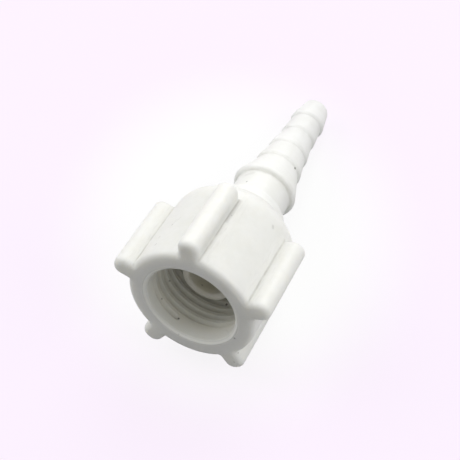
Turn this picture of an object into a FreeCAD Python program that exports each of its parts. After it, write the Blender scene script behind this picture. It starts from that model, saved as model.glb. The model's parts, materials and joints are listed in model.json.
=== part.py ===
import FreeCAD, Part
import math
import os

import Sketcher
from FreeCAD import Placement, Rotation, Vector

# Swivel hose adapter: a winged nut with an internal thread turns freely on a barbed hose nipple.
# Both pieces are turned shapes about one axis. Each is drawn about its own Y axis, measured from
# the nut's mouth towards the barbed tip, and is then laid down as it comes to rest on a floor.
# The thread itself is left as a plain wall at its major radius.

# Sizes in millimetres: name, value, what it is
SIZES = [
    ("nut_radius", 9.55, "outside of the nut's round body"),
    ("thread_radius", 7.144, "major radius of the 9/16-18 internal thread"),
    ("mouth_round", 0.2, "round at the mouth of the thread"),
    ("front_round", 0.85, "round of the front face's outline"),
    ("shoulder_gap", 1.8, "straight body between the wings' rear ends and the shoulder"),
    ("shoulder_length", 2.8, "length of the sloping shoulder"),
    ("shoulder_drop", 2.35, "how far the shoulder slopes in"),
    ("shoulder_round", 3.2, "round from the straight body into the shoulder"),
    ("rear_edge_round", 0.35, "round from the shoulder to the rear face"),
    ("rear_wall", 2.7, "thickness of the rear wall that the flange pulls on"),
    ("wing_count", 5, "grip wings around the nut"),
    ("wing_reach", 12.2, "axis to the top of a wing"),
    ("wing_width", 3.1, "across one wing"),
    ("wing_length", 13.1, "front face to the wing's rear end"),
    ("wing_round", 1.4, "round along the wing's top edges"),
    ("wing_end_round", 0.4, "round at the wing's rear end"),
    ("wing_foot_round", 0.2, "hollow round where a wing meets the body"),
    ("running_gap", 0.08, "radial gap between the nipple's collar and the nut"),
    ("seat_gap", 0.3, "end play between the flange and the rear wall"),
    ("flange_clearance", 0.85, "flange inside the thread radius, to pass the thread's crests"),
    ("flange_step", 0.844, "flange above the collar, which the nut pulls on"),
    ("flange_thickness", 1.9, "thickness of the flange that the nut pulls on"),
    ("flange_round", 0.25, "round of the flange's edges"),
    ("nose_length", 7.4, "nose in front of the flange"),
    ("nose_radius", 3.8, "outside of the nose"),
    ("nose_bore", 2.75, "radius of the passage in the nose"),
    ("nose_round", 0.35, "round of the nose's end"),
    ("nose_root_round", 0.6, "hollow round where the nose meets the flange"),
    ("collar_reach", 3.0, "collar behind the nut"),
    ("collar_round", 0.35, "round of the collar's end"),
    ("neck_radius", 4.35, "neck between the collar and the first barb"),
    ("neck_length", 4.6, "collar to the first barb"),
    ("barb_one_step", 0.82, "rim of the first, largest barb above the neck"),
    ("barb_one_slope", 0.3, "length over which its rear face climbs to the rim"),
    ("barb_one_length", 5.4, "first barb"),
    ("barb_one_root", 3.5, "small end of the first barb's cone"),
    ("barb_one_round", 0.55, "round of the first barb's rim"),
    ("barb_one_foot_round", 0.3, "hollow round where the first barb meets the neck"),
    ("barb_two_step", 0.31, "rim of the second barb above the cone before it"),
    ("barb_two_length", 4.05, "second barb"),
    ("barb_two_root", 3.05, "small end of the second barb's cone"),
    ("barb_three_step", 0.27, "rim of the third barb above the cone before it"),
    ("barb_three_length", 4.2, "third barb"),
    ("barb_three_root", 2.64, "small end of the third barb's cone"),
    ("barb_four_step", 0.24, "rim of the fourth barb above the cone before it"),
    ("barb_four_length", 3.9, "fourth barb"),
    ("barb_four_root", 2.52, "small end of the fourth barb's cone"),
    ("barb_five_step", 0.35, "rim of the fifth barb above the cone before it"),
    ("barb_five_length", 4.75, "fifth barb, up to the tip"),
    ("barb_slope", 0.45, "length over which the small barbs' rear faces climb"),
    ("barb_round", 0.6, "round of the small barbs' rims"),
    ("barb_foot_round", 0.35, "hollow round where a small barb meets the cone before it"),
    ("tip_radius", 2.1, "small end of the last cone, at the tip"),
    ("tip_round", 0.6, "round of the tip"),
    ("passage_radius", 1.4, "passage through the barbs"),
    ("wide_passage", 7.6, "depth of the nose's full bore"),
    ("passage_taper", 14.0, "length over which the passage narrows"),
]

# Places along the axis, from the mouth towards the tip
BARREL_END = "([wing_length] + [shoulder_gap])"
NUT_END = f"({BARREL_END} + [shoulder_length])"
BORE_END = f"({NUT_END} - [rear_wall])"
FLANGE_BACK = f"({BORE_END} - [seat_gap])"
FLANGE_FRONT = f"({FLANGE_BACK} - [flange_thickness])"
NOSE_END = f"({FLANGE_FRONT} - [nose_length])"
TAPER_START = f"({NOSE_END} + [wide_passage])"
TAPER_END = f"({TAPER_START} + [passage_taper])"
COLLAR_END = f"({NUT_END} + [collar_reach])"

# Radii that follow from others: the nut turns on the collar, and its rear wall rests on the flange
REAR_EDGE = "([nut_radius] - [shoulder_drop])"
FLANGE_RADIUS = "([thread_radius] - [flange_clearance])"
COLLAR_RADIUS = f"({FLANGE_RADIUS} - [flange_step])"
NUT_HOLE = f"({COLLAR_RADIUS} + [running_gap])"

# Barbs: for each its foot, its rim and its small end, as pairs of a radius and a place
BARBS = []
barb_start = f"({COLLAR_END} + [neck_length])"
barb_foot = "[neck_radius]"
for number in ("one", "two", "three", "four", "five"):
    slope = "[barb_one_slope]" if number == "one" else "[barb_slope]"
    small_end = "[tip_radius]" if number == "five" else f"[barb_{number}_root]"
    barb_end = f"({barb_start} + [barb_{number}_length])"
    rim = (f"({barb_foot} + [barb_{number}_step])", f"({barb_start} + {slope})")
    BARBS.append(((barb_foot, barb_start), rim, (small_end, barb_end)))
    barb_start, barb_foot = barb_end, small_end
NIPPLE_END = barb_start

# Rounds that a thin wall or a short face limits
NUT_WALL = "([nut_radius] - [thread_radius])"
WING_HEIGHT = "([wing_reach] - [nut_radius])"
WING_TOP_ROUND = f"min([wing_round]; 0.46 * [wing_width]; 0.6 * {WING_HEIGHT})"
WING_FOOT_ROUND = f"min([wing_foot_round]; 0.25 * {WING_HEIGHT})"
FRONT_EDGE_ROUND = f"min([front_round]; 0.45 * {NUT_WALL}; 0.7 * {WING_TOP_ROUND})"
MOUTH_EDGE_ROUND = f"min([mouth_round]; 0.3 * {NUT_WALL})"
SHOULDER_EDGE_ROUND = "min([shoulder_round]; 2.2 * [shoulder_gap]; 1.3 * [shoulder_length])"
NOSE_EDGE_ROUND = "min([nose_round]; 0.4 * ([nose_radius] - [nose_bore]))"
COLLAR_EDGE_ROUND = f"min([collar_round]; 0.8 * ({COLLAR_RADIUS} - [neck_radius]))"
FIRST_REAR_FACE = "hypot([barb_one_step]; [barb_one_slope])"
FIRST_RIM_ROUND = f"min([barb_one_round]; 0.65 * {FIRST_REAR_FACE})"
FIRST_FOOT_ROUND = f"min([barb_one_foot_round]; 0.36 * {FIRST_REAR_FACE})"
LOWEST_STEP = "min([barb_two_step]; [barb_three_step]; [barb_four_step]; [barb_five_step])"
SMALL_REAR_FACE = f"hypot({LOWEST_STEP}; [barb_slope])"
SMALL_RIM_ROUND = f"min([barb_round]; 1.15 * {SMALL_REAR_FACE})"
SMALL_FOOT_ROUND = f"min([barb_foot_round]; 0.68 * {SMALL_REAR_FACE})"
TIP_EDGE_ROUND = "min([tip_round]; 0.9 * ([tip_radius] - [passage_radius]))"

# How closely two lengths must agree to be taken as one, in millimetres
SAME = 1e-4

# The steepest that the part could lie at rest, in degrees, and how many guesses find its real tilt
STEEPEST_TILT = 30.0
TILT_GUESSES = 12

doc = FreeCAD.newDocument("swivel_hose_adapter")
sheet = doc.addObject("Spreadsheet::Sheet", "sizes")
for row, (name, value, note) in enumerate(SIZES, start=1):
    sheet.set(f"A{row}", note)
    sheet.set(f"B{row}", str(value))
    sheet.setAlias(f"B{row}", name)
doc.recompute()


def size(name):
    return float(sheet.get(name))


def origin_part(body, role):
    return next(o for o in body.Origin.OriginFeatures if o.Role == role)


def new_body(name):
    body = doc.addObject("PartDesign::Body", name)
    body.Label = name
    return body


def outline(body, name, plane, points):
    """A closed sketch of straight lines. Each point is a pair of expressions of named sizes."""
    sketch = body.newObject("Sketcher::SketchObject", name)
    sketch.AttachmentSupport = [(origin_part(body, plane), "")]
    sketch.MapMode = "FlatFace"
    doc.recompute()
    places = [Vector(evaluate(x), evaluate(y), 0) for x, y in points]
    for i, corner in enumerate(places):
        sketch.addGeometry(Part.LineSegment(corner, places[(i + 1) % len(places)]), False)
    for i in range(len(places)):
        sketch.addConstraint(Sketcher.Constraint("Coincident", i, 2, (i + 1) % len(places), 1))
    for i, (x, y) in enumerate(points):
        for kind, expression, value in (("DistanceX", x, places[i].x), ("DistanceY", y, places[i].y)):
            index = sketch.addConstraint(Sketcher.Constraint(kind, -1, 1, i, 1, value))
            constraint = f"{kind}_{i}"
            sketch.renameConstraint(index, constraint)
            sketch.setExpression(f"Constraints.{constraint}", bound(expression))
    return sketch


def bound(expression):
    """The same expression with each size's name pointing at the sheet."""
    for name, _, _ in sorted(SIZES, key=lambda s: -len(s[0])):
        expression = expression.replace(f"[{name}]", f"sizes.{name}")
    return expression


def evaluate(expression):
    probe = sheet.evalExpression(bound(expression))
    return float(getattr(probe, "Value", probe))


def finish(body, feature):
    doc.recompute()
    if "Invalid" in feature.State or "Error" in feature.State:
        raise RuntimeError(f"{feature.Name} failed: {feature.State}")
    body.Tip = feature
    return feature


def rounded(body, name, edges, expression):
    """A round on those edges of the body's last feature."""
    if not edges:
        raise RuntimeError(f"{name} finds no edge")
    base = body.Tip
    fillet = body.newObject("PartDesign::Fillet", name)
    fillet.Base = (base, edges)
    fillet.Radius = evaluate(expression)
    fillet.setExpression("Radius", bound(expression))
    return finish(body, fillet)


def edges_where(shape, test):
    return [f"Edge{i}" for i, edge in enumerate(shape.Edges, start=1) if test(edge)]


def near(a, b):
    return abs(a - b) < SAME


def rings(body, radius, along):
    """Circles about the axis, of that radius and at that distance from the mouth."""
    wanted = evaluate(radius)
    place = evaluate(along)

    def test(edge):
        curve = edge.Curve
        if not isinstance(curve, Part.Circle):
            return False
        centred = near(curve.Center.x, 0) and near(curve.Center.z, 0)
        return centred and near(curve.Radius, wanted) and near(curve.Center.y, place)

    return edges_where(body.Tip.Shape, test)


def make_nut():
    body = new_body("swivel_nut")
    ring = outline(
        body,
        "nut_section",
        "XY_Plane",
        [
            ("[thread_radius]", "0"),
            ("[nut_radius]", "0"),
            ("[nut_radius]", BARREL_END),
            (REAR_EDGE, NUT_END),
            (NUT_HOLE, NUT_END),
            (NUT_HOLE, BORE_END),
            ("[thread_radius]", BORE_END),
        ],
    )
    turned = body.newObject("PartDesign::Revolution", "nut_turned")
    turned.Profile = ring
    turned.ReferenceAxis = (ring, ["V_Axis"])
    turned.Angle = 360
    finish(body, turned)
    rounded(body, "shoulder", rings(body, "[nut_radius]", BARREL_END), SHOULDER_EDGE_ROUND)
    rounded(body, "rear_edge", rings(body, REAR_EDGE, NUT_END), "[rear_edge_round]")

    # One wing, standing straight up, from inside the wall to its top
    side = "[wing_width] / 2"
    root = "([thread_radius] + [nut_radius]) / 2"
    wing_face = outline(
        body,
        "wing_section",
        "XZ_Plane",
        [
            (f"-{side}", root),
            (side, root),
            (side, "[wing_reach]"),
            (f"-{side}", "[wing_reach]"),
        ],
    )
    wing = body.newObject("PartDesign::Pad", "wing")
    wing.Profile = wing_face
    wing.Length = size("wing_length")
    wing.setExpression("Length", "sizes.wing_length")
    wing.Reversed = True
    finish(body, wing)
    if wing.Shape.BoundBox.YMin < -SAME or wing.Shape.BoundBox.ZMax < size("wing_reach") - SAME:
        raise RuntimeError("the wing is padded away from the nut")

    wings = body.newObject("PartDesign::PolarPattern", "wings")
    wings.Originals = [wing]
    wings.Axis = (origin_part(body, "Y_Axis"), [""])
    wings.Angle = 360
    wings.Occurrences = int(size("wing_count"))
    wings.setExpression("Occurrences", "sizes.wing_count")
    finish(body, wings)

    top_corner = math.hypot(size("wing_width") / 2, size("wing_reach"))

    def wing_top(edge):
        return is_along(edge) and near(radius_of(edge), top_corner)

    def wing_end(edge):
        return lies_at(edge, size("wing_length")) and radius_of(edge) > size("nut_radius") + SAME

    def wing_foot(edge):
        middle = edge.valueAt((edge.FirstParameter + edge.LastParameter) / 2)
        beside = 0 < middle.y < size("wing_length") + SAME and not edge.isClosed()
        faces = body.Tip.Shape.ancestorsOfType(edge, Part.Face)
        return beside and near(radius_of(edge), size("nut_radius")) and len(faces) == 2

    def front_outline(edge):
        return lies_at(edge, 0) and radius_of(edge) > size("nut_radius") - SAME

    rounded(body, "wing_tops", edges_where(body.Tip.Shape, wing_top), WING_TOP_ROUND)
    rounded(body, "wing_ends", edges_where(body.Tip.Shape, wing_end), "[wing_end_round]")
    rounded(body, "wing_feet", edges_where(body.Tip.Shape, wing_foot), WING_FOOT_ROUND)
    rounded(body, "front_edge", edges_where(body.Tip.Shape, front_outline), FRONT_EDGE_ROUND)
    rounded(body, "mouth", rings(body, "[thread_radius]", "0"), MOUTH_EDGE_ROUND)
    return body


def lies_at(edge, along):
    """In the plane at that distance from the mouth."""
    return near(edge.BoundBox.YMin, along) and near(edge.BoundBox.YMax, along)


def is_along(edge):
    """Straight and parallel to the axis."""
    box = edge.BoundBox
    straight = isinstance(edge.Curve, (Part.Line, Part.LineSegment))
    return straight and near(box.XLength, 0) and near(box.ZLength, 0)


def radius_of(edge):
    """Distance of the edge's middle from the axis."""
    middle = edge.valueAt((edge.FirstParameter + edge.LastParameter) / 2)
    return math.hypot(middle.x, middle.z)


def make_nipple():
    body = new_body("hose_nipple")
    points = [
        ("[nose_bore]", NOSE_END),
        ("[nose_radius]", NOSE_END),
        ("[nose_radius]", FLANGE_FRONT),
        (FLANGE_RADIUS, FLANGE_FRONT),
        (FLANGE_RADIUS, FLANGE_BACK),
        (COLLAR_RADIUS, FLANGE_BACK),
        (COLLAR_RADIUS, COLLAR_END),
        ("[neck_radius]", COLLAR_END),
    ]
    for foot, rim, _ in BARBS:
        points += [foot, rim]
    points += [
        ("[tip_radius]", NIPPLE_END),
        ("[passage_radius]", NIPPLE_END),
        ("[passage_radius]", TAPER_END),
        ("[nose_bore]", TAPER_START),
    ]
    ring = outline(body, "nipple_section", "XY_Plane", points)
    turned = body.newObject("PartDesign::Revolution", "nipple_turned")
    turned.Profile = ring
    turned.ReferenceAxis = (ring, ["V_Axis"])
    turned.Angle = 360
    finish(body, turned)

    flange = rings(body, FLANGE_RADIUS, FLANGE_FRONT) + rings(body, FLANGE_RADIUS, FLANGE_BACK)
    rounded(body, "flange_edges", flange, "[flange_round]")
    rounded(body, "nose_root", rings(body, "[nose_radius]", FLANGE_FRONT), "[nose_root_round]")
    nose = rings(body, "[nose_radius]", NOSE_END) + rings(body, "[nose_bore]", NOSE_END)
    rounded(body, "nose_end", nose, NOSE_EDGE_ROUND)
    rounded(body, "collar_edge", rings(body, COLLAR_RADIUS, COLLAR_END), COLLAR_EDGE_ROUND)
    first_foot, first_rim, _ = BARBS[0]
    rounded(body, "first_rim", rings(body, *first_rim), FIRST_RIM_ROUND)
    rounded(body, "first_foot", rings(body, *first_foot), FIRST_FOOT_ROUND)
    rims = [edge for _, rim, _ in BARBS[1:] for edge in rings(body, *rim)]
    rounded(body, "small_rims", rims, SMALL_RIM_ROUND)
    feet = [edge for foot, _, _ in BARBS[1:] for edge in rings(body, *foot)]
    rounded(body, "small_feet", feet, SMALL_FOOT_ROUND)
    rounded(body, "tip", rings(body, "[tip_radius]", NIPPLE_END), TIP_EDGE_ROUND)
    return body


def lowest(body, tilt):
    """Lowest point of the body when its tip is tilted down by that many degrees about the mouth."""
    laid = body.Shape.copy()
    laid.rotate(Vector(0, 0, 0), Vector(1, 0, 0), -tilt)
    return laid.optimalBoundingBox(False, False).ZMin


def rest_tilt(nut, nipple):
    """The part falls over the rear ends of its two lowest wings until the nipple meets the floor.

    A straight line between a tilt that is too level and one that is too steep gives the next guess.
    """

    def clearance(tilt):
        return lowest(nipple, tilt) - lowest(nut, tilt)

    level, steep = 0.0, STEEPEST_TILT
    above, below = clearance(level), clearance(steep)
    for _ in range(TILT_GUESSES):
        guess = level + (steep - level) * above / (above - below)
        gap = clearance(guess)
        if near(gap, 0):
            break
        if gap > 0:
            level, above = guess, gap
        else:
            steep, below = guess, gap
    return guess


nut = make_nut()
nipple = make_nipple()
doc.recompute()

# Lay both down about the same axis, then bring them onto the floor and over the origin
tilt = rest_tilt(nut, nipple)
turn = Rotation(Vector(1, 0, 0), -tilt)
for body in (nut, nipple):
    body.Placement = Placement(Vector(0, 0, 0), turn)
doc.recompute()
boxes = [body.Shape.optimalBoundingBox(False, False) for body in (nut, nipple)]
low = min(box.ZMin for box in boxes)
middle = (min(box.YMin for box in boxes) + max(box.YMax for box in boxes)) / 2
for body in (nut, nipple):
    body.Placement = Placement(Vector(0, -middle, -low), turn)
doc.recompute()

for item in doc.Objects:
    if "Invalid" in item.State or "Error" in item.State:
        raise RuntimeError(f"{item.Name} failed: {item.State}")
for body in (nut, nipple):
    if body.Shape.isNull() or not body.Shape.isValid() or len(body.Shape.Solids) != 1:
        raise RuntimeError(f"{body.Label} is not one valid solid")

os.makedirs("parts", exist_ok=True)
for body in (nut, nipple):
    body.Shape.exportStep(f"parts/{body.Label}.step")
    centre = body.Shape.Solids[0].CenterOfMass
    print(f"{body.Label}: {body.Shape.Volume:.1f} mm3, centre of mass y {centre.y:.3f} z {centre.z:.3f}")
print(f"tilt {tilt:.4f} degrees, centre of the mouth y {-middle:.4f} z {-low:.4f}")
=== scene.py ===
# Looks of a swivel hose adapter: a winged plastic nut that turns on a barbed plastic nipple
import json
import math

import bpy
import numpy as np
from mathutils import Matrix, Vector


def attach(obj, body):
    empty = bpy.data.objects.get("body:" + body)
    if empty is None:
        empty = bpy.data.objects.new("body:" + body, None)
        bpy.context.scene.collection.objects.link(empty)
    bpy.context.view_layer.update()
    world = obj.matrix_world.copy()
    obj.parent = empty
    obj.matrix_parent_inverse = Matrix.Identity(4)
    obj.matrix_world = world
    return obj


millimetre = 0.001
fullTurn = 2 * math.pi

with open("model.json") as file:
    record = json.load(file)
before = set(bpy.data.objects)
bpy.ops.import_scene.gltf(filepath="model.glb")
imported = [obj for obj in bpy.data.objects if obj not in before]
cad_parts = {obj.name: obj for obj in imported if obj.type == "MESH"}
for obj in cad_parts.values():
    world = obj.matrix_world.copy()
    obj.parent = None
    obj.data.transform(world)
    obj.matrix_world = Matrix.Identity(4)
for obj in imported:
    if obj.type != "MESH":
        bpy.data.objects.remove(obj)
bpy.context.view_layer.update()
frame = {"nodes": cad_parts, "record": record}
print("frame loaded:", ", ".join(sorted(frame["nodes"])))

# The axis of the adapter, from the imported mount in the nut's mouth
threadMount = next(mount for mount in frame["record"]["mounts"] if mount["name"] == "nut_thread")
mouth = Vector(threadMount["pos_m"])
outward = Vector(threadMount["axis"]).normalized()
sideways = Vector((1.0, 0.0, 0.0))
upward = outward.cross(sideways)  # square to the axis, in the upright plane
tilt = math.asin(outward.z)


# Millimetres across, along the axis from the mouth and up from it, turned into metres in the frame
def place(across, along, rise):
    spot = np.stack([across, along, rise], axis=-1) * millimetre
    turned = np.array([sideways, -outward, upward])
    return np.array(mouth) + spot @ turned


def grey(level):
    return (level, level, level, 1.0)


# One node of a shader tree, its settings, and its sockets set or linked
def addNode(tree, kind, sockets=None, **settings):
    node = tree.nodes.new(kind)
    for name, value in settings.items():
        setattr(node, name, value)
    for name, value in (sockets or {}).items():
        if isinstance(value, bpy.types.NodeSocket):
            tree.links.new(value, node.inputs[name])
        else:
            node.inputs[name].default_value = value
    return node


def calculate(tree, operation, first, second=0.0):
    return addNode(tree, "ShaderNodeMath", {0: first, 1: second}, operation=operation).outputs[0]


# A sum on vectors: its result is a vector, or a number where "Value" is asked for
def vectorSum(tree, operation, first, second=(0.0, 0.0, 0.0), result="Vector"):
    return addNode(tree, "ShaderNodeVectorMath", {0: first, 1: second}, operation=operation).outputs[result]


def scaleVector(tree, vector, amount):
    sockets = {0: vector, "Scale": amount}
    return addNode(tree, "ShaderNodeVectorMath", sockets, operation="SCALE").outputs["Vector"]


# A place's measures across, along and up, and its distance from the axis
def splitPlace(tree, spot):
    parts = addNode(tree, "ShaderNodeSeparateXYZ", {0: spot}).outputs
    flat = addNode(tree, "ShaderNodeCombineXYZ", {"X": parts["X"], "Z": parts["Z"]}).outputs[0]
    return parts, vectorSum(tree, "LENGTH", flat, result="Value")


# A ramp from one value to another, held outside them
def ramp(tree, value, low, high, fromValue=0.0, toValue=1.0):
    sockets = {"Value": value, "From Min": low, "From Max": high, "To Min": fromValue, "To Max": toValue}
    node = addNode(tree, "ShaderNodeMapRange", sockets, interpolation_type="SMOOTHSTEP")
    return node.outputs["Result"]


def noiseAt(tree, spot, scale, detail):
    sockets = {"Vector": spot, "Scale": scale, "Detail": detail}
    return addNode(tree, "ShaderNodeTexNoise", sockets).outputs[0]


# Patches that fade an effect here and there, from the faintest share to the whole
def unevenness(tree, spot, facts):
    patches = noiseAt(tree, spot, facts["patchScale"], facts["patchDetail"])
    return ramp(tree, patches, facts["patchLow"], facts["patchHigh"], facts["faintest"], 1.0)


def blendColours(tree, amount, first, second, how="MIX"):
    node = addNode(tree, "ShaderNodeMix", data_type="RGBA", blend_type=how)
    for name, value in (("Factor_Float", amount), ("A_Color", first), ("B_Color", second)):
        socket = next(item for item in node.inputs if item.identifier == name)
        if isinstance(value, bpy.types.NodeSocket):
            tree.links.new(value, socket)
        else:
            socket.default_value = value
    return next(item for item in node.outputs if item.identifier == "Result_Color")


def startGroup(name, inputs, outputs):
    group = bpy.data.node_groups.new(name, "ShaderNodeTree")
    kinds = {"value": "NodeSocketFloat", "vector": "NodeSocketVector", "colour": "NodeSocketColor"}
    for label, kind in inputs.items():
        group.interface.new_socket(name=label, in_out="INPUT", socket_type=kinds[kind])
    for label, kind in outputs.items():
        group.interface.new_socket(name=label, in_out="OUTPUT", socket_type=kinds[kind])
    return group, group.nodes.new("NodeGroupInput").outputs, group.nodes.new("NodeGroupOutput").inputs


# A group placed in a tree, with its one output
def useGroup(tree, group, sockets):
    return addNode(tree, "ShaderNodeGroup", sockets, node_tree=group).outputs[0]


# Camera, at the photograph's viewing angle
photoView = {
    "elevation": 44.64,  # degrees over the adapter's axis
    "azimuth": 24.53,  # degrees round from the axis
    "swing": -0.6,  # degrees the view is turned about the adapter's axis
    "distance": 143.86,  # millimetres to the mouth, along the line of sight
    "focalPixels": 1056.16,
    "imagePixels": 460,
    "mouthPixel": (189.37, 307.37),
    "sensorWidth": 36.0,
    "clipStart": 0.01,  # metres
}


def makeCamera(facts):
    rise, bearing = math.radians(facts["elevation"]), math.radians(facts["azimuth"])
    forward = (-math.cos(rise) * math.sin(bearing), math.cos(rise) * math.cos(bearing), -math.sin(rise))
    right = (math.cos(bearing), math.sin(bearing), 0.0)
    above = (-math.sin(rise) * math.sin(bearing), math.sin(rise) * math.cos(bearing), math.cos(rise))
    swing = Matrix.Rotation(math.radians(facts["swing"]), 3, outward)
    turned = np.array([swing @ sideways, -outward, swing @ upward])
    forward, right, above = (Vector(np.array(arrow) @ turned) for arrow in (forward, right, above))
    perPixel = facts["distance"] / facts["focalPixels"]
    shiftRight = (facts["mouthPixel"][0] - facts["imagePixels"] / 2) * perPixel
    shiftUp = (facts["imagePixels"] / 2 - facts["mouthPixel"][1]) * perPixel
    spot = mouth - millimetre * (shiftRight * right + shiftUp * above + facts["distance"] * forward)
    camera = bpy.data.objects.new("camera", bpy.data.cameras.new("camera"))
    camera.data.sensor_width = facts["sensorWidth"]
    camera.data.lens = facts["focalPixels"] * facts["sensorWidth"] / facts["imagePixels"]
    camera.data.clip_start = facts["clipStart"]
    turn = Matrix((right, above, -forward)).transposed().to_4x4()
    camera.matrix_world = Matrix.Translation(spot) @ turn
    bpy.context.scene.collection.objects.link(camera)
    bpy.context.scene.camera = camera
    return spot, forward


cameraSpot, cameraForward = makeCamera(photoView)
print("camera placed")

# Studio: three large soft lamps, behind and to both sides, and a faint low one, under an even sky
studio = {
    "sky": 0.28,  # on the object; the camera sees the backdrop at full strength
    "backdrop": (0.98, 0.89, 1.0, 1.0),
    "lampDistance": 0.5,  # metres
    "lampSize": 0.3,
    "lamps": {
        "backLamp": {"azimuth": 180, "elevation": 45, "power": 1.24},
        "leftLamp": {"azimuth": 270, "elevation": 40, "power": 1.13},
        "rightLamp": {"azimuth": 98, "elevation": 38, "power": 0.92},
        "lowLamp": {"azimuth": 96, "elevation": 10, "power": 0.17},
    },
}


def makeStudio(facts):
    world = bpy.data.worlds.new("studioSky")
    bpy.context.scene.world = world
    world.use_nodes = True
    tree = world.node_tree
    seen = addNode(tree, "ShaderNodeLightPath").outputs["Is Camera Ray"]
    colour = blendColours(tree, seen, grey(1.0), facts["backdrop"])
    strength = ramp(tree, seen, 0.0, 1.0, facts["sky"], 1.0)
    background = tree.nodes["Background"]
    tree.links.new(colour, background.inputs["Color"])
    tree.links.new(strength, background.inputs["Strength"])
    for name, lamp in facts["lamps"].items():
        light = bpy.data.lights.new(name, "AREA")
        light.size = facts["lampSize"]
        light.energy = lamp["power"]
        holder = bpy.data.objects.new(name, light)
        bearing, rise = math.radians(lamp["azimuth"]), math.radians(lamp["elevation"])
        level = math.cos(rise)
        towards = Vector((math.sin(bearing) * level, -math.cos(bearing) * level, math.sin(rise)))
        holder.location = towards * facts["lampDistance"]
        holder.rotation_euler = towards.to_track_quat("Z", "Y").to_euler()
        bpy.context.scene.collection.objects.link(holder)


makeStudio(studio)
print("studio lit")

# Floor: white to the camera round the object, and faintly rosy further out
floorFacts = {
    "reach": 1.5,  # metres
    "near": grey(1.0),
    "far": studio["backdrop"],
    "tintStarts": 14.0,  # millimetres from the middle of the picture
    "tintEnds": 32.0,
    "shadowShare": 0.12,  # how much of what the camera sees is lit by the lamps
    "bounce": 0.38,  # what the floor gives back to the object
}


def makeFloor(facts):
    corners = np.array([(-1, -1, 0), (1, -1, 0), (1, 1, 0), (-1, 1, 0)]) * facts["reach"]
    mesh = bpy.data.meshes.new("floor")
    mesh.from_pydata(corners.tolist(), [], [(0, 1, 2, 3)])
    floor = bpy.data.objects.new("floor", mesh)
    bpy.context.scene.collection.objects.link(floor)
    material = bpy.data.materials.new("paleFloor")
    material.use_nodes = True
    tree = material.node_tree
    tree.nodes.remove(tree.nodes["Principled BSDF"])
    # The tint lies round the spot that the camera looks at, in an oval that it sees as a circle
    middle = cameraSpot - cameraForward * (cameraSpot.z / cameraForward.z)
    spot = addNode(tree, "ShaderNodeTexCoord").outputs["Object"]
    turned = (0.0, 0.0, math.atan2(-cameraForward.x, cameraForward.y))
    stretch = (millimetre, millimetre / -cameraForward.z, 1.0)
    sockets = {"Vector": spot, "Location": middle, "Rotation": turned, "Scale": stretch}
    spot = addNode(tree, "ShaderNodeMapping", sockets, vector_type="TEXTURE").outputs[0]
    away = vectorSum(tree, "LENGTH", spot, result="Value")
    tint = ramp(tree, away, facts["tintStarts"], facts["tintEnds"])
    colour = blendColours(tree, tint, facts["near"], facts["far"])
    glow = addNode(tree, "ShaderNodeEmission", {"Color": colour, "Strength": 1.0 - facts["shadowShare"]})
    lit = blendColours(tree, 1.0, colour, grey(facts["shadowShare"]), "MULTIPLY")
    matte = addNode(tree, "ShaderNodeBsdfDiffuse", {"Color": lit})
    seen = addNode(tree, "ShaderNodeAddShader", {0: glow.outputs[0], 1: matte.outputs[0]})
    plain = addNode(tree, "ShaderNodeBsdfDiffuse", {"Color": grey(facts["bounce"])})
    path = addNode(tree, "ShaderNodeLightPath")
    direct = calculate(tree, "MAXIMUM", path.outputs["Is Camera Ray"], path.outputs["Is Transmission Ray"])
    direct = calculate(tree, "MAXIMUM", direct, path.outputs["Is Glossy Ray"])
    shown = addNode(tree, "ShaderNodeMixShader", {0: direct, 1: plain.outputs[0], 2: seen.outputs[0]})
    tree.links.new(shown.outputs[0], tree.nodes["Material Output"].inputs["Surface"])
    mesh.materials.append(material)


makeFloor(floorFacts)
print("floor laid")


# Place on a piece in millimetres: across, along the axis from the mouth, and up from the axis
def partPlace(tree):
    spot = addNode(tree, "ShaderNodeTexCoord").outputs["Object"]
    sockets = {"Vector": spot, "Location": mouth, "Rotation": (-tilt, 0.0, 0.0), "Scale": (millimetre,) * 3}
    return addNode(tree, "ShaderNodeMapping", sockets, vector_type="TEXTURE").outputs[0]


# Cloudy colour: broad and small clouds of a second colour in the first
cloudFacts = {
    "broadShare": 0.55,
    "broadDetail": 3.0,
    "smallShare": 0.45,
    "smallDetail": 2.0,
    "finer": 5.0,  # times as many small clouds in a length as broad ones
    "starts": 0.38,  # noise where the second colour starts, and where it has come in
    "full": 0.64,
}


def makeCloudyColour(facts):
    group, given, made = startGroup(
        "cloudyColour",
        {"Place": "vector", "Base": "colour", "Shade": "colour", "Amount": "value", "Size": "value"},
        {"Colour": "colour"},
    )
    scale = calculate(group, "DIVIDE", 1.0, given["Size"])
    broad = noiseAt(group, given["Place"], scale, facts["broadDetail"])
    finer = calculate(group, "MULTIPLY", scale, facts["finer"])
    small = noiseAt(group, given["Place"], finer, facts["smallDetail"])
    both = calculate(group, "ADD", calculate(group, "MULTIPLY", small, facts["smallShare"]),
                     calculate(group, "MULTIPLY", broad, facts["broadShare"]))
    cloud = ramp(group, both, facts["starts"], facts["full"])
    amount = calculate(group, "MULTIPLY", cloud, given["Amount"])
    group.links.new(blendColours(group, amount, given["Base"], given["Shade"]), made["Colour"])
    return group


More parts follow.
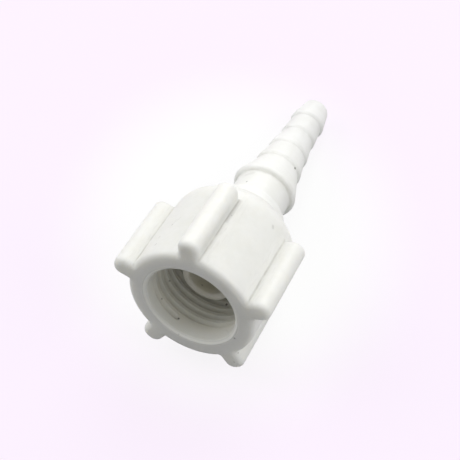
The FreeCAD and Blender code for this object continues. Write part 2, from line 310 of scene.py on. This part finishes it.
# Inclusions: sparse round grains in the plastic, seen where they reach the surface
def makeInclusions():
    group, given, made = startGroup(
        "inclusions",
        {"Place": "vector", "Spacing": "value", "Radius": "value", "Share": "value"},
        {"Mask": "value"},
    )
    scale = calculate(group, "DIVIDE", 1.0, given["Spacing"])
    cells = addNode(group, "ShaderNodeTexVoronoi", {"Vector": given["Place"], "Scale": scale})
    far = calculate(group, "MULTIPLY", cells.outputs["Distance"], given["Spacing"])
    near = ramp(group, far, given["Radius"], 0.0)
    chance = addNode(group, "ShaderNodeSeparateColor", {"Color": cells.outputs["Color"]}).outputs["Red"]
    chosen = calculate(group, "LESS_THAN", chance, given["Share"])
    group.links.new(calculate(group, "MULTIPLY", near, chosen), made["Mask"])
    return group


# Mark: a spot or a line between two places, full in the middle and gone at its radius
def makeMark():
    group, given, made = startGroup(
        "mark",
        {"Place": "vector", "Start": "vector", "End": "vector", "Radius": "value"},
        {"Mask": "value"},
    )
    line = vectorSum(group, "SUBTRACT", given["End"], given["Start"])
    away = vectorSum(group, "SUBTRACT", given["Place"], given["Start"])
    share = calculate(group, "DIVIDE", vectorSum(group, "DOT_PRODUCT", away, line, "Value"),
                      vectorSum(group, "DOT_PRODUCT", line, line, "Value"))
    share = addNode(group, "ShaderNodeClamp", {"Value": share}).outputs[0]
    far = vectorSum(group, "DISTANCE", away, scaleVector(group, line, share), "Value")
    group.links.new(ramp(group, far, given["Radius"], 0.0), made["Mask"])
    return group


# Moulded relief: a slow unevenness, a fine grain, rings left by the turned mould and streaks along
# the axis, with the marks sunk in, as a bent normal
reliefFacts = {
    "streakStretch": (4.0, 0.35, 4.0),  # across, along, up
    "noises": {  # scale per millimetre, and detail
        "Slow": (0.42, 2.0),
        "Fine": (5.5, 3.0),
        "Rings": (3.2, 2.0),
        "Streaks": (1.0, 3.0),
    },
}


def makeRelief(facts):
    group, given, made = startGroup(
        "mouldedRelief",
        {"Place": "vector", "Slow": "value", "Fine": "value", "Rings": "value", "Streaks": "value",
         "Marks": "value"},
        {"Normal": "vector"},
    )
    parts, radius = splitPlace(group, given["Place"])
    turned = addNode(group, "ShaderNodeCombineXYZ", {"X": radius, "Y": parts["Y"]}).outputs[0]
    drawn = vectorSum(group, "MULTIPLY", given["Place"], facts["streakStretch"])
    places = {"Slow": given["Place"], "Fine": given["Place"], "Rings": turned, "Streaks": drawn}
    height = calculate(group, "MULTIPLY", given["Marks"], -1.0)
    for name, (scale, detail) in facts["noises"].items():
        noise = noiseAt(group, places[name], scale, detail)
        height = calculate(group, "ADD", height, calculate(group, "MULTIPLY", noise, given[name]))
    bump = addNode(group, "ShaderNodeBump", {"Height": height, "Distance": millimetre})
    group.links.new(bump.outputs[0], made["Normal"])
    return group


# Painted shade near a line, given the distance from it in millimetres: dark in the crease, then faint
# patches or streaks of it
creaseShadeFacts = {
    "patchScale": 0.7,
    "patchDetail": 2.0,
    "patchLow": 0.3,
    "patchHigh": 0.65,
    "faintest": 0.25,
    "streakDetail": 4.0,
    "streakLow": 0.48,
    "streakHigh": 0.72,
}


def makeCreaseShade(facts):
    group, given, made = startGroup(
        "creaseShade",
        {"Place": "vector", "Stretch": "vector", "Distance": "value", "Crease": "value", "Reach": "value",
         "Spread": "value"},
        {"Mask": "value"},
    )
    line = ramp(group, given["Distance"], given["Crease"], 0.0)
    line = calculate(group, "MULTIPLY", line, unevenness(group, given["Place"], facts))
    drawn = vectorSum(group, "MULTIPLY", given["Place"], given["Stretch"])
    streaks = noiseAt(group, drawn, 1.0, facts["streakDetail"])
    streaks = ramp(group, streaks, facts["streakLow"], facts["streakHigh"])
    streaks = calculate(group, "MULTIPLY", ramp(group, given["Distance"], given["Reach"], 0.0), streaks)
    streaks = calculate(group, "MULTIPLY", streaks, given["Spread"])
    group.links.new(calculate(group, "MAXIMUM", line, streaks), made["Mask"])
    return group


# Painted light and shade inside a bore, with a warm tint: full between two places along the axis, inside a
# radius, and uneven in patches
insideLightShadeFacts = {
    "patchScale": 0.5,
    "patchDetail": 4.0,
    "patchLow": 0.3,
    "patchHigh": 0.6,
    "faintest": 0.75,
}


def makeInsideLightShade(facts):
    group, given, made = startGroup(
        "insideLightShade",
        {"Place": "vector", "Start": "value", "Full": "value", "End": "value", "Radius": "value"},
        {"Mask": "value"},
    )
    parts, radius = splitPlace(group, given["Place"])
    within = calculate(group, "LESS_THAN", radius, given["Radius"])
    before = calculate(group, "LESS_THAN", parts["Y"], given["End"])
    grows = ramp(group, parts["Y"], given["Start"], given["Full"])
    uneven = unevenness(group, given["Place"], facts)
    mask = calculate(group, "MULTIPLY", calculate(group, "MULTIPLY", within, before),
                     calculate(group, "MULTIPLY", grows, uneven))
    group.links.new(mask, made["Mask"])
    return group


# Painted shade in the bottom of a helical groove: the place's depth past the groove, in turns, is nought on
# the helix and whole on its next turns
grooveFacts = {
    "patchScale": 0.6,
    "patchDetail": 3.0,
    "patchLow": 0.3,
    "patchHigh": 0.6,
    "faintest": 0.35,
    "leadIn": 0.04,  # turns in front of the groove where its dirt starts
}


def makeGrooveShade(facts):
    group, given, made = startGroup(
        "grooveShade",
        {"Place": "vector", "First": "value", "Last": "value", "Pitch": "value", "Angle": "value",
         "Width": "value", "Radius": "value"},
        {"Mask": "value"},
    )
    parts, radius = splitPlace(group, given["Place"])
    angle = calculate(group, "ARCTAN2", parts["Z"], parts["X"])
    turn = calculate(group, "DIVIDE", calculate(group, "SUBTRACT", given["Angle"], angle), fullTurn)
    deep = calculate(group, "SUBTRACT", parts["Y"], given["First"])
    deep = calculate(group, "DIVIDE", deep, given["Pitch"])
    past = calculate(group, "SUBTRACT", deep, calculate(group, "FRACT", turn))
    away = calculate(group, "MULTIPLY", calculate(group, "PINGPONG", past, 0.5), given["Pitch"])
    line = ramp(group, away, given["Width"], 0.0)
    begun = calculate(group, "GREATER_THAN", past, -facts["leadIn"])
    begun = calculate(group, "MULTIPLY", begun, calculate(group, "LESS_THAN", parts["Y"], given["Last"]))
    within = calculate(group, "LESS_THAN", radius, given["Radius"])
    uneven = unevenness(group, given["Place"], facts)
    mask = calculate(group, "MULTIPLY", calculate(group, "MULTIPLY", line, begun),
                     calculate(group, "MULTIPLY", within, uneven))
    group.links.new(mask, made["Mask"])
    return group


cloudyColour = makeCloudyColour(cloudFacts)
inclusions = makeInclusions()
mark = makeMark()
mouldedRelief = makeRelief(reliefFacts)
creaseShade = makeCreaseShade(creaseShadeFacts)
insideLightShade = makeInsideLightShade(insideLightShadeFacts)
grooveShade = makeGrooveShade(grooveFacts)
print("shader groups built")

# Thread in the nut, in millimetres: a lead-in from the mouth, then a right-hand groove into the bore
threadFacts = {
    "pitch": 1.411,
    "wallRadius": 7.144,
    "edgeRadius": 7.17,
    "throatRadius": 6.7,  # what the chamfer narrows the edge to
    "crestRadius": 6.5,  # and what the funnel narrows it to
    "relief": 0.56,
    "slopeWidth": 0.7,  # of the side of a turn that faces the mouth
    "backWidth": 0.2,  # of the side that faces away from it
    "scoreAt": 1.0,  # a fine line scored along the crest, past the groove
    "scoreWidth": 0.07,
    "scoreRelief": 0.06,
    "clear": 0.05,  # from the wall, so that no two faces coincide
    "buried": 0.2,  # how far the closing surface lies in the wall
    "edgeDepth": 0.02,  # the first ring, just inside the mouth
    "chamferDepth": 0.4,
    "leadEnd": 2.6,  # where the funnel ends
    "firstDepth": 1.8,  # of the groove at its start
    "lastDepth": 12.1,
    "runOut": 0.4,  # over which the turns end in the wall
    "startAngle": 244.0,  # degrees round the mouth from +X over +Z
    "fadeTurns": 0.02,  # of a turn, over which the groove begins
    "stepsRound": 320,
    "stepsAlong": 220,
}


# From 0 to 1 between two values along an S-curve, three squares less two cubes of the way
def smoothStep(value, low, high):
    share = np.clip((value - low) / (high - low), 0.0, 1.0)
    return share * share * (3 - 2 * share)


# Inside of the bore: a radius for each angle and depth. A straight chamfer and an S-curved funnel lead in
# from the mouth to the crest. A groove follows a helix, one pitch deeper a turn, clockwise: it is steep on
# its mouth side, slopes straight back to the crest, and a fine line is scored beyond it. Past the last
# depth the radius runs out into the wall, and the surface closes inside the wall
def makeThread(facts, material):
    pitch, backWidth = facts["pitch"], facts["backWidth"]
    lastDepth, end = facts["lastDepth"], facts["lastDepth"] + facts["runOut"]
    angle = np.linspace(0.0, fullTurn, facts["stepsRound"], endpoint=False)[None, :]
    along = np.linspace(facts["edgeDepth"], end, facts["stepsAlong"])[:, None]
    turn = np.mod(math.radians(facts["startAngle"]) - angle, fullTurn) / fullTurn
    past = along - facts["firstDepth"] - pitch * turn
    sinceBack = np.mod(past, pitch)
    groove = 1 - np.clip(sinceBack / facts["slopeWidth"], 0.0, 1.0)
    groove = np.maximum(groove, smoothStep(sinceBack, pitch - backWidth, pitch))
    groove = groove * smoothStep(past, -backWidth, 0.0)
    begun = smoothStep(turn, 0.0, facts["fadeTurns"])
    groove = groove * np.where(past < pitch - backWidth, begun, 1.0) * facts["relief"]
    score = np.exp(-((sinceBack - facts["scoreAt"]) / facts["scoreWidth"]) ** 2) * (past > 0)
    chamfer = np.clip(along / facts["chamferDepth"], 0.0, 1.0)
    lead = facts["edgeRadius"] - (facts["edgeRadius"] - facts["throatRadius"]) * chamfer
    funnel = (facts["throatRadius"] - facts["crestRadius"]) * smoothStep(along, 0.0, facts["leadEnd"])
    ended = smoothStep(along, lastDepth, end)
    radius = (lead - funnel + groove + facts["scoreRelief"] * score) * (1 - ended)
    radius = radius + (facts["wallRadius"] + facts["clear"]) * ended
    behind = np.full((1, facts["stepsRound"]), facts["wallRadius"] + facts["buried"])
    radius = np.concatenate([radius, behind, behind])
    along = np.concatenate([along, along[-1:], along[:1]]) * np.ones_like(angle)
    points = place(radius * np.cos(angle), along, radius * np.sin(angle))
    rows, columns = points.shape[:2]
    row, column = np.meshgrid(np.arange(rows), np.arange(columns), indexing="ij")
    nextRow, nextColumn = (row + 1) % rows, (column + 1) % columns
    faces = np.stack([row * columns + column, row * columns + nextColumn,
                      nextRow * columns + nextColumn, nextRow * columns + column], axis=-1).reshape(-1, 4)
    mesh = bpy.data.meshes.new("nut_thread_turns")
    mesh.from_pydata(points.reshape(-1, 3).tolist(), [], faces.tolist())
    mesh.shade_smooth()
    atMouth = [max(edge.vertices) < columns for edge in mesh.edges]  # the only sharp corner
    mesh.attributes.new("sharp_edge", "BOOLEAN", "EDGE").data.foreach_set("value", atMouth)
    mesh.materials.append(material)
    turns = bpy.data.objects.new("nut_thread_turns", mesh)
    bpy.context.scene.collection.objects.link(turns)
    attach(turns, "nut")


# Plastic of both pieces, what lies on it, and the light and shade painted on it. Places are millimetres:
# across, along, up
plastic = {
    "roughness": 0.5,
    "roughnessSpread": 0.08,
    "glossScale": 1.1,  # of the patches where the roughness changes, and the noise between its ends
    "glossDetail": 3.0,
    "glossLow": 0.3,
    "glossHigh": 0.7,
    "specular": 0.4,
    "cloudAmount": 0.5,
    "cloudSize": 5.0,
    "speckAndShadeColour": (0.07, 0.055, 0.04, 1.0),
    # the colour of the painted shade in creases and in the thread's groove
    "paintedShadeColour": (0.30, 0.27, 0.22, 1.0),
    "grainSpacing": 2.6,
    "grainRadius": 0.12,
    "grainShare": 0.3,
    "grainStrength": 0.5,
    "slowRelief": 0.05,
    "fineRelief": 0.004,
    "fleckRelief": 0.03,
}
nutPlastic = {
    "colour": (0.86, 0.86, 0.825, 1.0),
    "shade": (0.81, 0.81, 0.765, 1.0),
    "ringRelief": 0.012,
    "streakRelief": 0.006,
    # painted light: paler and warmer deeper in the bore
    "insideTone": (0.955, 0.935, 0.84, 1.0),
    "insideToneStart": 0.6,
    "insideToneFull": 3.4,
    "insideToneEnd": 14.6,
    "insideRadius": 7.2,
    # painted shade in the thread's groove
    "grooveWidth": 0.3,
    "grooveAmount": 0.45,
    "shallowRadius": 7.3,  # light travels less far inside this radius, and all the way outside the next
    "deepRadius": 8.5,
    "shallowShare": 0.12,
    "lipHighlight": (0.90, 0.90, 0.845, 1.0),  # painted highlight along the edge of the mouth
    "lipStart": 7.3,
    "lipEnd": 7.65,
    "lipDepth": 0.25,
    "wings": 5,
    "wingHalfWidth": 1.55,
    "wingLength": 13.1,
    "bodyRadius": 9.55,
    "reach": 1.6,  # millimetres that light travels inside
    "reachColour": (1.0, 0.975, 0.92),  # and how that differs by colour
    # painted shade along the feet of the wings
    "shadeStretch": (3.5, 0.45, 3.5),
    "shadeCrease": 0.3,
    "shadeReach": 2.6,
    "shadeSpread": 0.4,
    "shadeAmount": 0.27,
}
boreShadedPlastic = {
    **nutPlastic,
    "colour": (0.82, 0.82, 0.775, 1.0),  # painted shade: darker than the nut's colour, seen at the lip, before the inside tone paints light over it deeper in
    "shade": (0.79, 0.79, 0.74, 1.0),
}
nipplePlastic = {
    "colour": (0.87, 0.872, 0.846, 1.0),
    "shade": (0.82, 0.82, 0.775, 1.0),
    "ringRelief": 0.008,
    "streakRelief": 0.004,
    # painted shade: darker and browner on the nose, deep in the nut's bore
    "insideTone": (0.745, 0.72, 0.62, 1.0),
    "insideToneStart": 4.0,
    "insideToneFull": 5.2,
    "insideToneEnd": 14.6,
    "insideRadius": 6.5,
    "rootsAlong": (20.7, 25.3, 30.7, 34.75, 38.95, 42.85),
    "reach": 2.4,
    "reachColour": (1.0, 1.0, 1.0),
    # painted shade at the roots of the barbs and of the collar
    "shadeStretch": (0.9, 1.4, 0.9),
    "shadeCrease": 0.16,
    "shadeReach": 1.2,
    "shadeSpread": 0.5,
    "shadeAmount": 0.14,
}


# Distance from the nearest line where a wing meets the body: the angle round the axis is folded onto
# one wing
def distanceFromWingFoot(tree, spot, facts):
    parts, radius = splitPlace(tree, spot)
    angle = calculate(tree, "ARCTAN2", parts["X"], parts["Z"])
    folded = calculate(tree, "PINGPONG", angle, math.pi / facts["wings"])
    aside = calculate(tree, "MULTIPLY", radius, calculate(tree, "SINE", folded))
    aside = calculate(tree, "SUBTRACT", aside, facts["wingHalfWidth"])
    out = calculate(tree, "SUBTRACT", radius, facts["bodyRadius"])
    beyond = calculate(tree, "MAXIMUM", calculate(tree, "SUBTRACT", parts["Y"], facts["wingLength"]), 0.0)
    away = addNode(tree, "ShaderNodeCombineXYZ", {"X": aside, "Y": out, "Z": beyond}).outputs[0]
    return vectorSum(tree, "LENGTH", away, result="Value")


# Distance along the axis from the nearest root of a barb or of the collar
def distanceFromRoot(tree, spot, facts):
    along = addNode(tree, "ShaderNodeSeparateXYZ", {0: spot}).outputs["Y"]
    nearest = None
    for root in facts["rootsAlong"]:
        far = calculate(tree, "ABSOLUTE", calculate(tree, "SUBTRACT", along, root))
        nearest = far if nearest is None else calculate(tree, "MINIMUM", nearest, far)
    return nearest


# Painted shade in the corners of a piece and, on the nut, in the thread's groove
def addPaintedShade(tree, spot, facts, distance):
    sockets = {"Place": spot, "Stretch": facts["shadeStretch"], "Distance": distance(tree, spot, facts),
               "Crease": facts["shadeCrease"], "Reach": facts["shadeReach"],
               "Spread": facts["shadeSpread"]}
    shadeMask = calculate(tree, "MULTIPLY", useGroup(tree, creaseShade, sockets), facts["shadeAmount"])
    # painted shade in the bottom of the thread's groove
    if "grooveWidth" in facts:
        sockets = {"Place": spot, "First": threadFacts["firstDepth"], "Last": threadFacts["lastDepth"],
                   "Pitch": threadFacts["pitch"], "Angle": math.radians(threadFacts["startAngle"]),
                   "Width": facts["grooveWidth"], "Radius": facts["insideRadius"]}
        groove = calculate(tree, "MULTIPLY", useGroup(tree, grooveShade, sockets), facts["grooveAmount"])
        shadeMask = calculate(tree, "MAXIMUM", shadeMask, groove)
    return shadeMask


# Flecks: chance grains, and the marks that are given, some of which are painted shade
def addFlecksAndShades(tree, spot, shared, marks):
    sockets = {"Place": spot, "Spacing": shared["grainSpacing"], "Radius": shared["grainRadius"],
               "Share": shared["grainShare"]}
    grains = calculate(tree, "MULTIPLY", useGroup(tree, inclusions, sockets), shared["grainStrength"])
    total = None
    for start, end, radius, strength in marks:
        sockets = {"Place": spot, "Start": start, "End": end, "Radius": radius}
        mask = calculate(tree, "MULTIPLY", useGroup(tree, mark, sockets), strength)
        total = mask if total is None else calculate(tree, "MAXIMUM", total, mask)
    return calculate(tree, "MAXIMUM", grains, total)


# Painted highlight on the lip of the mouth: a paler ring on the front face that fades outwards
def addLipHighlight(tree, colour, spot, facts):
    parts, radius = splitPlace(tree, spot)
    ring = ramp(tree, radius, facts["lipStart"], facts["lipEnd"], 1.0, 0.0)
    front = calculate(tree, "LESS_THAN", parts["Y"], facts["lipDepth"])
    return blendColours(tree, calculate(tree, "MULTIPLY", ring, front), colour, facts["lipHighlight"])


def makePlastic(name, facts, shared, distance, marks):
    material = bpy.data.materials.new(name)
    material.use_nodes = True
    tree = material.node_tree
    shader = tree.nodes["Principled BSDF"]
    spot = partPlace(tree)
    sockets = {"Place": spot, "Base": facts["colour"], "Shade": facts["shade"],
               "Amount": shared["cloudAmount"], "Size": shared["cloudSize"]}
    colour = useGroup(tree, cloudyColour, sockets)
    # painted light in the nut's bore and painted shade on the nipple's nose, both with a warm tint
    sockets = {"Place": spot, "Start": facts["insideToneStart"], "Full": facts["insideToneFull"],
               "End": facts["insideToneEnd"], "Radius": facts["insideRadius"]}
    colour = blendColours(tree, useGroup(tree, insideLightShade, sockets), colour, facts["insideTone"])
    # painted shade in the creases and in the thread's groove
    colour = blendColours(tree, addPaintedShade(tree, spot, facts, distance), colour, shared["paintedShadeColour"])
    # painted highlight on the lip of the mouth
    if "lipHighlight" in facts:
        colour = addLipHighlight(tree, colour, spot, facts)
    flecksAndShades = addFlecksAndShades(tree, spot, shared, marks)
    # flecks, and the painted shade of some of the marks
    colour = blendColours(tree, flecksAndShades, colour, shared["speckAndShadeColour"])
    tree.links.new(colour, shader.inputs["Base Color"])
    sockets = {"Place": spot, "Slow": shared["slowRelief"], "Fine": shared["fineRelief"],
               "Rings": facts["ringRelief"], "Streaks": facts["streakRelief"],
               "Marks": calculate(tree, "MULTIPLY", flecksAndShades, shared["fleckRelief"])}
    tree.links.new(useGroup(tree, mouldedRelief, sockets), shader.inputs["Normal"])
    patches = noiseAt(tree, spot, shared["glossScale"], shared["glossDetail"])
    low = shared["roughness"] - shared["roughnessSpread"]
    high = shared["roughness"] + shared["roughnessSpread"]
    rough = ramp(tree, patches, shared["glossLow"], shared["glossHigh"], low, high)
    tree.links.new(rough, shader.inputs["Roughness"])
    shader.inputs["Specular IOR Level"].default_value = shared["specular"]
    shader.inputs["Subsurface Weight"].default_value = 1.0
    shader.inputs["Subsurface Scale"].default_value = facts["reach"] * millimetre
    shader.inputs["Subsurface Radius"].default_value = facts["reachColour"]
    if "shallowRadius" in facts:
        radius = splitPlace(tree, spot)[1]
        share = ramp(tree, radius, facts["shallowRadius"], facts["deepRadius"], facts["shallowShare"], 1.0)
        tree.links.new(scaleVector(tree, facts["reachColour"], share), shader.inputs["Subsurface Radius"])
    return material


# Flecks, scratches and some painted shade on each piece: start, end, radius, strength
nutMarks = [
    ((6.79, 12.87, 6.71), (6.9, 12.6, 6.6), 0.35, 0.2),
    ((1.88, 9.95, 9.36), (1.88, 9.9, 9.38), 0.2, 0.35),
    ((-6.14, 1.78, 2.36), (-6.14, 1.85, 2.36), 0.22, 0.7),
    ((-5.93, 5.47, -2.71), (-5.93, 5.42, -2.66), 0.24, 0.5),
    ((-5.66, 2.46, -3.38), (-5.66, 2.46, -3.32), 0.2, 0.6),
    ((1.9, 7.63, -6.42), (1.96, 7.68, -6.4), 0.26, 0.95),
    ((-2.95, 2.03, -5.85), (-2.9, 2.03, -5.85), 0.22, 0.9),
    ((-2.01, 0.14, -6.81), (-2.0, 0.2, -6.8), 0.2, 0.3),
    ((6.69, 0.0, -3.29), (6.75, 0.0, -3.25), 0.22, 0.5),
    ((6.96, 0.61, -7.0), (6.96, 0.66, -7.0), 0.2, 0.4),
    ((6.61, 0.0, -8.47), (6.66, 0.0, -8.47), 0.2, 0.35),
    ((-5.32, 6.63, 7.92), (-4.82, 7.92, 8.24), 0.1, 0.14),
    ((-5.6, 6.2, 7.7), (-5.3, 7.6, 7.95), 0.08, 0.1),
    ((-6.0, 2.36, 7.42), (-5.9, 2.6, 7.5), 0.16, 0.3),
    ((-5.44, 6.37, 7.84), (-5.4, 6.5, 7.87), 0.16, 0.35),
    ((-6.3, 4.0, 7.18), (-6.25, 4.3, 7.22), 0.14, 0.25),
    # painted shade along the right foot of the top wing, then over its right side and its front end
    ((1.75, 13.0, 9.4), (1.75, 8.6, 9.4), 0.45, 0.16),
    ((1.9, 2.4, 10.5), (1.9, 9.4, 10.5), 1.5, 0.1),
    ((0.0, -0.6, 10.9), (0.0, -0.6, 11.3), 1.9, 0.1),
    ((4.51, 2.01, -4.75), (5.68, 0.81, -3.74), 0.14, 0.1),
]
nippleMarks = [
    ((-1.43, 22.42, 4.11), (-1.4, 22.48, 4.11), 0.2, 0.5),
    ((3.06, 30.6, 1.79), (3.08, 30.5, 1.83), 0.28, 0.85),
    ((-1.25, 6.43, -2.44), (-1.2, 6.43, -2.46), 0.2, 0.5),
    # a dent next to the first barb, sunk in, with its shade painted
    ((-2.29, 24.18, 3.69), (-1.31, 24.55, 4.15), 0.5, 0.1),
]
nutMaterial = makePlastic("nutPlastic", nutPlastic, plastic, distanceFromWingFoot, nutMarks)
boreShadedMaterial = makePlastic("boreShadedPlastic", boreShadedPlastic, plastic, distanceFromWingFoot, nutMarks)
nippleMaterial = makePlastic("nipplePlastic", nipplePlastic, plastic, distanceFromRoot, nippleMarks)


def dress(node, material):
    node.data.materials.clear()
    node.data.materials.append(material)


dress(frame["nodes"]["swivel_nut"], nutMaterial)
dress(frame["nodes"]["hose_nipple"], nippleMaterial)
print("plastics made")

makeThread(threadFacts, boreShadedMaterial)
print("thread wound")

bpy.context.scene.view_settings.view_transform = "Standard"
